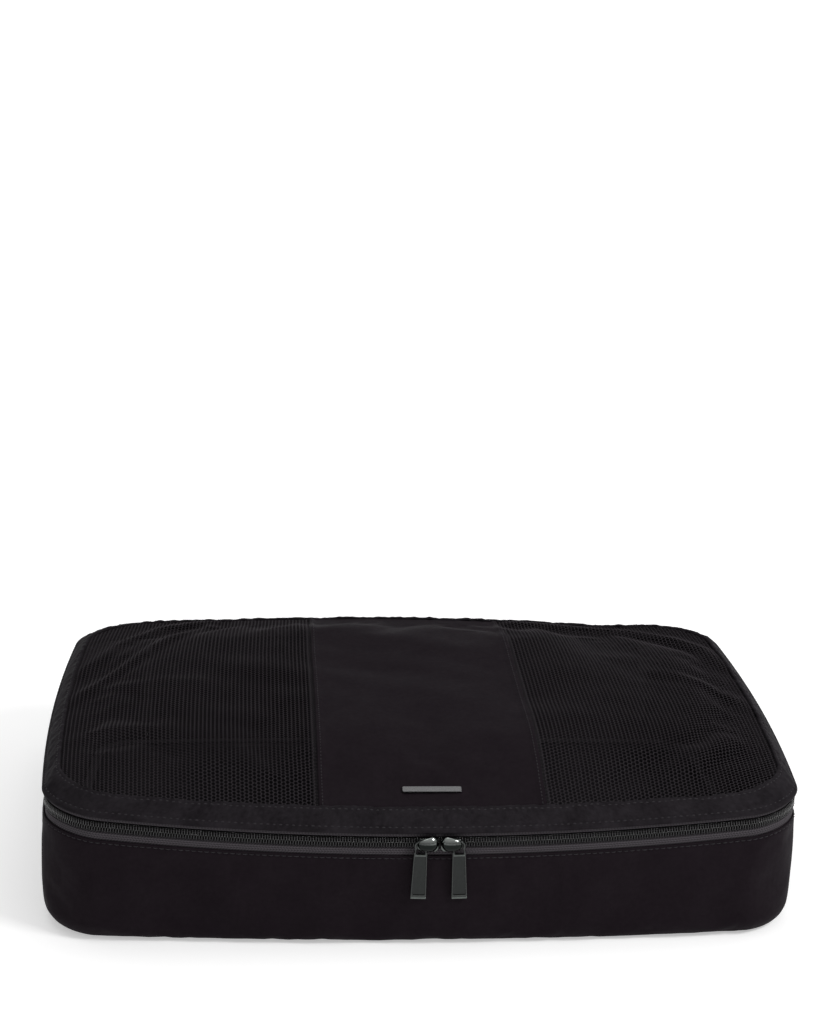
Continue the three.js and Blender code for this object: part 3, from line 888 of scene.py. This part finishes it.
def up_at(px, py):
    """Direction out of the lid at plain points."""
    step = 1.5
    a = lid_point(px + step, py) - lid_point(px - step, py)
    b = lid_point(px, py + step) - lid_point(px, py - step)
    return unit(np.cross(a, b))


def net_paths(side):
    """Knitted net: chains from front to back, joined by short links to each side in turn."""
    half = HALF_W - NET_INSET - 0.4
    seam = side * PANEL_X + SEAM_X
    columns = int((half - seam) / NET_PITCH)
    rows = int(2 * (HALF_D - NET_INSET) / NET_ROW)
    along = (np.arange(rows) - (rows - 1) / 2) * NET_ROW
    share = (np.arange(columns)[:, None] + 0.4) / columns
    start = plain_x(seam, along)[None, :]
    reach = reach_at(seam + share * (half - seam), NET_INSET)
    py = np.clip(along[None, :], -reach, reach) + 1e-4 * along[None, :]
    px = start + share * (half - start)
    lean = np.where((np.arange(columns)[:, None] + np.arange(rows)[None, :]) % 2 == 0, 1, -1)
    points = lid_point(side * (px + lean * NET_ZIGZAG), py, -0.3)
    normal = up_at(side * px[:, ::8], py[:, ::8])
    spread = np.clip(np.arange(rows) / 8, 0, normal.shape[1] - 1.001)
    low = spread.astype(int)
    part = (spread - low)[None, :, None]
    normal = normal[:, low] * (1 - part) + normal[:, low + 1] * part
    joined = (lean[:-1] == 1) & (np.abs(along[None, :]) < reach[1:])
    crowd = 1 + 0.06 * np.clip(creases(side * px, py), 0, 3)
    return points, normal, crowd, points[:-1][joined], points[1:][joined], normal[:-1][joined]


def add_net(name, side):
    points, normal, crowd, start, end, link_normal = net_paths(side)
    size = CHAIN_R * crowd + 0.02 * RNG.standard_normal(points.shape[:2])
    chains, chain_faces = tubes(points, normal, size)
    middle = (start + end) / 2 + link_normal * 0.06
    links, link_faces = tubes(np.stack([start, middle, end], 1), np.stack([link_normal] * 3, 1), LINK_R)
    vertices = np.concatenate([chains, links])
    faces = np.concatenate([chain_faces, link_faces + len(chains)])
    net = make_mesh(f"net_{name}", vertices, faces, NET)
    finish(net, "lid", "net", f"lid_mesh_{name}")


def contour_points(depth, count):
    """Evenly spaced plain points of the contour at a depth, with their arc lengths."""
    loop = plain_outline(depth)
    s = arc_lengths(loop)
    at = np.linspace(0, s[-1], count, endpoint=False)
    return *at_lengths(at, s, loop).T, at


def ring_faces(rows, count):
    """Faces of a closed ring of cloth: its outer face, its inner face and both edges."""
    face = grid_faces(rows, count, close_columns=True)
    total = rows * count
    near = np.arange(count)
    low = edge_faces(near, total)[:, ::-1]
    high = edge_faces(near + (rows - 1) * count, total)
    return np.concatenate([face[:, ::-1], face + total, low, high])


def border_point(depth, height, count):
    """Points round the border at a depth and height of its profile, and their lengths along it."""
    px, py, along = contour_points(depth, count)
    along = along / along[-1] * LENGTH
    pucker = 0.42 * smooth_noise(along, depth * 2, 10, 31)
    wave = 0.35 * smooth_noise(along, depth, 50, 32)
    lift = height - lid_rise(max(depth, 0)) + (pucker + wave) * np.clip((height - 2.2) / 2, 0, 1)
    return lid_point(px, py, lift), px, py, along


def add_border():
    """Folded band round the lid: a rolled fold at its edge, a steep band and a turned inner lip."""
    count = 1100
    rows, weave = [], []
    for depth, height in BORDER_PROFILE:
        point, _, _, along = border_point(depth, height, count)
        rows.append(point)
        weave.append(stack(along, height * 1.5, 0))
    grid = np.array(rows)
    normal = grid_normals(np.concatenate([grid[:, -1:], grid, grid[:, :1]], 1))[:, 1:-1]
    faces = ring_faces(len(rows), count)
    cloth = make_mesh("border_cloth", [grid, grid + normal * BORDER_T], faces, TRIM, [weave, weave])
    flip_if_inside_out(cloth)
    finish(cloth, "lid", "nylon_trim", "lid_border")
    for name, depth in (("outer", OUTER_STITCH), ("inner", INNER_STITCH)):
        height = float(np.interp(depth, *zip(*BORDER_PROFILE[4:])))
        point, px, py, _ = border_point(depth, height, 1400)
        row = stitches(f"border_stitches_{name}", point + [0, 0, 0.2], up_at(px, py), closed=True)
        finish(row, "lid", "nylon_trim")


def finish(obj, body, slot_name, *nodes):
    """The piece rides on a body and stands for CAD nodes, which it hides. slot_name is not used."""
    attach(obj, body)
    if nodes:
        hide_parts(*nodes)


# ---- walls and bottom

ZIP_START = arc_of_back(-ZIP_END_X)
ZIP_END = arc_of_back(ZIP_END_X)
WALL_START = arc_of_back(-BACK_SEAM_X)
WALL_END = arc_of_back(BACK_SEAM_X)


def add_walls():
    s = np.linspace(WALL_START, WALL_END, 900)[None, :]
    v = np.concatenate([np.linspace(0, 0.9, 50), np.linspace(0.91, 1.0, 16)])[:, None]
    top = zip_height(s) + WALL_TOP
    run = v * wall_length(top)
    from_top = run[-1:] - run
    lift = 0.4 * np.clip(1 - from_top / 6, 0, 1) - 0.45 * np.exp(-((from_top - WALL_STITCH) / 0.5) ** 2)
    lift = lift - 0.7 * np.clip(1 - from_top / 0.8, 0, 1) ** 2
    lift = lift + 0.18 * smooth_noise(s, run, 12, 41) * np.exp(-from_top / 7)
    grid = wall_point(s, v, top, lift)
    cloth = cloth_sheet("wall_cloth", grid, CLOTH_T, NYLON, stack(s, run, 0), lined=True)
    flip_if_inside_out(cloth)
    finish(cloth, "base", "nylon", "gusset")
    s = np.linspace(WALL_START, WALL_END, 2200)
    top = zip_height(s) + WALL_TOP
    path = wall_point(s, 1 - WALL_STITCH / wall_length(top), top, 0.05)
    finish(stitches("wall_stitches", path, outwards(s, 1), width=0.7), "base", "nylon")


def add_back():
    """Back wall and lid skirt in one cloth, leaning in a little above the hinge."""
    s = np.linspace(WALL_END, WALL_START + LENGTH, 260)[None, :]
    top = EDGE_Z + 1.0
    v = np.concatenate([np.linspace(0, 0.8, 44), np.linspace(0.81, 1.0, 24)])[:, None]
    grid = wall_point(s, v, top, 0)
    grid += outwards(s, -1.1 * np.clip((grid[..., 2] - HINGE_Z) / (top - HINGE_Z), 0, 1))
    weave = stack(s, v * wall_length(top), 0)
    cloth = cloth_sheet("back_cloth", grid, CLOTH_T, NYLON, weave, lined=True)
    flip_if_inside_out(cloth)
    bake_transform(cloth)
    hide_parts("back_panel", "lid_back_skirt")


def add_bottom():
    inset = BOTTOM_R + 0.05
    rings = 14
    s = np.linspace(0, LENGTH, 500, endpoint=False)
    rim = place(s, -inset, 0)
    scale = np.linspace(1, 0, rings + 1)[:-1]
    grid = np.array([rim * [k, k, 1] for k in scale])
    depth = (1 - scale)[:, None]
    sag = 0.35 + 0.3 * smooth_noise(grid[..., 0], grid[..., 1], 90, 51) * np.clip(depth * 4, 0, 1)
    grid[..., 2] = np.clip(sag, 0.05, None) * np.clip(depth * 8, 0, 1)
    count = len(s)
    vertices = np.concatenate([grid.reshape(-1, 3), [[0, 0, 0.3]]])
    top = vertices + [0, 0, 0.9]
    faces = grid_faces(rings, count, close_columns=True).tolist()
    last = (rings - 1) * count
    faces += [[last + i, last + (i + 1) % count, rings * count] for i in range(count)]
    total = len(vertices)
    upper = [[i + total for i in reversed(f)] for f in faces]
    sides = [[(i + 1) % count, i, i + total, (i + 1) % count + total] for i in range(count)]
    both = np.concatenate([vertices, top])
    cloth = make_mesh("bottom_cloth", both, faces + upper + sides, NYLON, both)
    line_inside(cloth, len(faces), 2 * len(faces))
    flip_if_inside_out(cloth)
    finish(cloth, "base", "nylon", "bottom_panel")
    down = np.tile([0, 0, -1.0], (count, 1))
    row = stitches("bottom_stitches", place(s, -inset - 2.4, 0.25), down, closed=True, width=0.4)
    finish(row, "base", "nylon")


# ---- bindings

def add_bindings():
    s = np.linspace(0, LENGTH, 700, endpoint=False)
    ripple = 0.15 * smooth_noise(s, 0 * s, 18, 61)
    section = raised(band(-BOTTOM_R - 4.5, -BOTTOM_R + 1.5, 1.5, 3.2, 4, 0.7), ripple)
    bottom = sweep("bottom_binding", s, section, BINDING, closed=True)
    finish(bottom, "base", "binding", "bottom_seam_binding")
    section = raised(band(-7.2, -5.0, 3.0, 7.6, 4, 0.8), zip_height(s) + ripple)
    edge = sweep("lid_edge_tape", s, section, BINDING, closed=True)
    finish(edge, "lid", "binding", "lid_edge_binding")
    for name, side in SIDES:
        across = np.linspace(-4, 4, 9)[None, :]
        y = np.linspace(-1, 1, 120)[:, None] * (HALF_D - BORDER_W - 2) + 0 * across
        x = plain_x(PANEL_X + side * SEAM_X + across, y)
        grid = lid_point(x, y, -1.5 - 0.5 * (1 - (across / 4) ** 2))
        strip = cloth_sheet(f"lid_seam_tape_{name}", grid, TAPE_T, BINDING, stack(across, y, 0))
        finish(strip, "lid", "binding", f"lid_seam_binding_{name}")
        centre = WALL_START if side < 0 else WALL_END
        across = centre + np.linspace(-3.5, 3.5, 9)[None, :]
        height = np.linspace(0.26, 0.86, 40)[:, None]
        lift = -1.4 - 0.5 * (1 - ((across - centre) / 3.5) ** 2)
        grid = wall_point(across, height, HINGE_Z - 0.2, lift)[:, ::-1]
        weave = stack(across, 80 * height, 0)[:, ::-1]
        strip = cloth_sheet(f"corner_tape_{name}", grid, TAPE_T, BINDING, weave)
        finish(strip, "base", "binding", f"back_corner_binding_{name}")


# ---- zip

def zip_sweep(name, s, points, material):
    """Sweeps a section that is given from the zip's centre line."""
    return sweep(name, s, raised(points, zip_height(s)), material)


def coil_tooth():
    """One turn of the coil: a top leg, a thick head at the middle of the zip, and a bottom leg."""
    path = np.array([
        [-0.18, 3.0, -0.35], [-0.2, 3.05, 0.25], [-0.12, 2.3, 0.62], [-0.04, 1.2, 0.66], [0.0, 0.1, 0.62],
        [0.0, -0.35, 0.2], [0.0, -0.3, -0.3], [0.05, 0.5, -0.6], [0.3, 2.2, -0.6], [0.45, 3.0, -0.35]])
    width = np.array([0.24, 0.25, 0.26, 0.26, 0.33, 0.42, 0.33, 0.26, 0.25, 0.24])
    side = np.array([1.0, 0, 0])
    out = unit(np.cross(side, np.gradient(path, axis=0)))
    angle = circle(THREAD_SIDES)[:, None]
    ring = side * np.cos(angle) + out[:, None] * np.sin(angle) * 0.8
    vertices = (path[:, None] + ring * width[:, None, None]).reshape(-1, 3)
    return vertices, grid_faces(len(path), THREAD_SIDES, close_columns=True)


def add_coil(name, side, body, node):
    template, faces = coil_tooth()
    template = template * [1, side, 1]
    if side < 0:
        faces = faces[:, ::-1]
    count = int((ZIP_END - ZIP_START) / COIL_PITCH)
    s = ZIP_START + (np.arange(count) + (0.25 if side > 0 else 0.75)) * COIL_PITCH
    origin = place(s, -1.05, zip_height(s))
    ahead = unit(place(s + 0.5, -1.05, zip_height(s + 0.5)) - origin)
    out = outwards(s, 1)
    axes = (ahead, np.cross(out, ahead), out)
    teeth = make_mesh(name, *scatter(template, faces, origin, axes), COIL)
    flip_if_inside_out(teeth)
    finish(teeth, body, "zip_coil", node)
    low, high = sorted((side * 0.85, side * 2.7))
    core = zip_sweep(f"{name}_core", s, band(-1.35, -0.75, low, high), CORE)
    finish(core, body, "zip_tape")
    path = place(s, -0.25, zip_height(s) + side * 1.9)
    finish(stitches(f"{name}_thread", path, out, COIL_PITCH * 2, 0.34), body, "zip_tape")


def add_zip():
    """Both tapes, with their edges at the coil and their visible strips a little farther out."""
    tape = np.array([
        (-2.6, 0.05), (-2.6, 2.5), (-2.3, 3.1), (-1.6, 3.5), (-1.4, 4.4), (-1.4, 7.2), (-1.4, 12)])
    forward = stack([0, 0, 0, 0.3, 0.45, 0.3, 0], 0)
    s = np.linspace(ZIP_START - TAPE_OVERLAP, ZIP_END + TAPE_OVERLAP, 800)
    upper = zip_sweep("upper_tape", s, ribbon(tape[:-1], TAPE_T), TAPE)
    finish(upper, "lid", "zip_tape", "zip_tape_upper")
    lower = zip_sweep("lower_tape", s, ribbon((tape + forward) * [1, -1], TAPE_T), TAPE)
    finish(lower, "base", "zip_tape", "zip_tape_lower")
    add_coil("upper_coil", 1, "lid", "zip_coil_upper")
    add_coil("lower_coil", -1, "base", "zip_coil_lower")
    for name, start in (("left", ZIP_START - 2.6), ("right", ZIP_END + 0.2)):
        s = np.linspace(start, start + 2.4, 6)
        tab = zip_sweep(f"zip_end_{name}", s, band(-2.1, -0.1, -6, -0.5, 4, 0.5), BINDING)
        finish(tab, "base", "binding", f"zip_end_tab_{name}")


# ---- metal pieces

def plate(name, outlines, depth, bevel, material, resolution=3):
    """A flat plate with eased edges. outlines are closed lists of x and z, depth the outward span."""
    curve = bpy.data.curves.new(name, "CURVE")
    curve.dimensions = "2D"
    curve.fill_mode = "BOTH"
    curve.extrude = (depth[1] - depth[0]) / 2 - bevel
    curve.bevel_depth = bevel
    curve.bevel_resolution = resolution
    curve.offset = -bevel
    for outline in outlines:
        spline = curve.splines.new("POLY")
        spline.points.add(len(outline) - 1)
        for point, (x, z) in zip(spline.points, outline):
            point.co = (x, z, 0, 1)
        spline.use_cyclic_u = True
    holder = add_object(name, curve)
    shown = holder.evaluated_get(bpy.context.evaluated_depsgraph_get())
    mesh = bpy.data.meshes.new_from_object(shown)
    bpy.data.objects.remove(holder)
    turn = Matrix.Rotation(math.pi / 2, 4, "X")
    shift = Matrix.Translation((ZIP_MEET, FRONT_Y - (depth[0] + depth[1]) / 2, ZIP_Z))
    mesh.transform(Matrix.Scale(MM, 4) @ shift @ turn)
    mesh.materials.clear()
    mesh.materials.append(material)
    obj = add_object(name, mesh)
    select([obj])
    bpy.ops.object.shade_smooth_by_angle(angle=math.radians(35))
    return obj


def select(objects):
    for other in bpy.context.selected_objects:
        other.select_set(False)
    for obj in objects:
        obj.select_set(True)
    bpy.context.view_layer.objects.active = objects[0]


def join(name, *objects):
    """One object from several."""
    select(objects)
    bpy.ops.object.join()
    objects[0].name = name
    return objects[0]


def rounded(points, radius):
    """Outline with each corner eased by a curve."""
    points = np.array(points, float)
    out = []
    for p, before, after in zip(points, np.roll(points, 1, 0), np.roll(points, -1, 0)):
        a, b = before - p, after - p
        r = min(radius, np.linalg.norm(a) / 2.1, np.linalg.norm(b) / 2.1)
        start, end = p + unit(a) * r, p + unit(b) * r
        for t in np.linspace(0, 1, 5):
            out.append(tuple((1 - t) ** 2 * start + 2 * t * (1 - t) * p + t * t * end))
    return out


def loft(name, centres, widths, material):
    """A bridge along centres (x and outward distance), curled back at its edges and set a little up."""
    sides = 24
    ahead = unit(np.gradient(centres, axis=0))
    out = stack(-ahead[:, 1], ahead[:, 0])
    out *= np.sign(out[len(out) // 2, 1])
    sine = np.sin(circle(sides))
    z = np.cos(circle(sides)) * widths[:, None] / 2
    rise = np.sign(sine) * np.abs(sine) ** 0.6 * DOME_T / 2 - DOME_CURL * z ** 2
    x = ZIP_MEET + centres[:, :1] + out[:, :1] * rise
    o = centres[:, 1:] + out[:, 1:] * rise
    vertices = stack(x, FRONT_Y - o, ZIP_Z + z + DOME_UP * widths[:, None])
    obj = make_mesh(name, vertices, capped_faces(len(centres), sides), material)
    flip_if_inside_out(obj)
    return obj


def add_slider(name, side):
    """side is -1 for the left slider and 1 for the right one."""
    def mirrored(points):
        return [(side * x, z) for x, z in points]

    low = [(0.6, -3.2), (2.2, -4.8), (11.2, -4.1), (13.0, -2.4)]
    high = [(13.0, 1.6), (11.2, 3.0), (2.2, 3.9), (0.6, 2.6)]
    shell = rounded(mirrored(low + high), 1.8)
    bar = mirrored([(1.2, -0.3), (4.0, -0.3), (4.0, 0.3), (1.2, 0.3)])
    front = plate(f"slider_{name}_shell", [shell], (0.25, 1.7), 0.6, POLISHED, 5)
    back = plate(f"slider_{name}_back", [shell], (-4.6, -3.4), 0.35, POLISHED)
    post = plate(f"slider_{name}_post", [bar], (-3.6, 0.45), 0.05, POLISHED, 1)
    body = join(f"slider_{name}", front, back, post)
    finish(body, f"slider_{name}", "slider_metal", f"slider_{name}_body")
    x = side * np.array([1.2, 1.3, 1.8, 2.8, 4.2, 5.8, 7.4, 9.0, 10.4, 11.5, 12.1, 12.2])
    o = np.array([1.4, 2.5, 3.8, 4.8, 5.4, 5.6, 5.5, 5.3, 5.0, 4.4, 3.0, 1.4])
    width = np.array([6.0, 7.0, 8.0, 8.6, 8.7, 8.4, 7.8, 6.9, 6.0, 5.0, 4.2, 3.6])
    cap = loft(f"slider_{name}_dome", stack(x, o), width, DOME)
    finish(cap, f"slider_{name}", "slider_metal", f"slider_{name}_cap")


def arch(half_width, height, steps):
    return [(half_width * math.cos(a), height * math.sin(a)) for a in np.linspace(0, math.pi, steps)]


def add_pull(name, side, lean):
    """A flat pull with a sunk face, which hangs leaning a little outwards."""
    cosine, sine = math.cos(math.radians(lean)), math.sin(math.radians(lean))

    def hung(points):
        return [(side * (PIVOT_X + x * cosine - z * sine), x * sine + z * cosine) for x, z in points]

    low = -PULL_LENGTH
    outline = hung(arch(3.7, 2.9, 16) + rounded([(-3.7, -4.0), (-4.45, low), (4.45, low), (3.7, -4.0)], 0.5))
    window = hung(arch(2.6, 2.1, 12) + rounded([(-2.6, -2.0), (-2.6, -5.2), (2.6, -5.2), (2.6, -2.0)], 0.5))
    panel = hung(rounded([(-3.1, -6.6), (-3.7, low + 2.4), (3.7, low + 2.4), (3.1, -6.6)], 0.5))
    edge = hung(rounded([(-4.5, low - 0.1), (4.5, low - 0.1), (4.4, low + 1.5), (-4.4, low + 1.5)], 0.5))
    cross = hung(rounded([(-3.1, -6.5), (3.1, -6.5), (3.1, -5.4), (-3.1, -5.4)], 0.4))
    body = plate(f"pull_{name}_bar", [outline, window], (2.1, 3.4), 0.3, GUNMETAL)
    rim = plate(f"pull_{name}_rim", [outline, window, panel], (3.2, 3.95), 0.26, PULL_RIM)
    lip = plate(f"pull_{name}_lip", [edge], (2.9, 4.2), 0.5, POLISHED)
    bar = plate(f"pull_{name}_crossbar", [cross], (3.2, 4.05), 0.36, POLISHED)
    whole = join(f"pull_{name}_metal", body, rim, lip, bar)
    finish(whole, f"pull_{name}", "pull_metal", f"pull_{name}")


def add_badge():
    """A plain bar on the front of the centre panel."""
    outline = rounded([(-17, -2.4), (17, -2.4), (17, 2.4), (-17, 2.4)], 1.2)
    bar = plate("badge_bar", [outline], (0, 1.3), 0.35, BADGE)
    x = np.array([PANEL_X])
    y = np.array([BADGE_DEPTH + FRONT_Y]) * HALF_D / -FRONT_Y
    up = up_at(x, y)[0]
    home = Matrix.Translation((-ZIP_MEET * MM, -FRONT_Y * MM, -ZIP_Z * MM))
    tilt = Matrix.Rotation(math.atan2(-up[1], up[2]) - math.pi / 2, 4, "X")
    bar.data.transform(Matrix.Translation((lid_point(x, y)[0] + up * 0.35) * MM) @ tilt @ home)
    finish(bar, "lid", "badge_metal", "badge_plate")


add_camera()
add_floor()
add_world()
add_lights()
add_border()
add_centre_panel()
add_net("left", -1)
add_net("right", 1)
add_bottom()
add_walls()
add_back()
add_bindings()
add_zip()
add_slider("left", -1)
add_slider("right", 1)
add_pull("left", -1, 1.5)
add_pull("right", 1, 1.9)
add_badge()
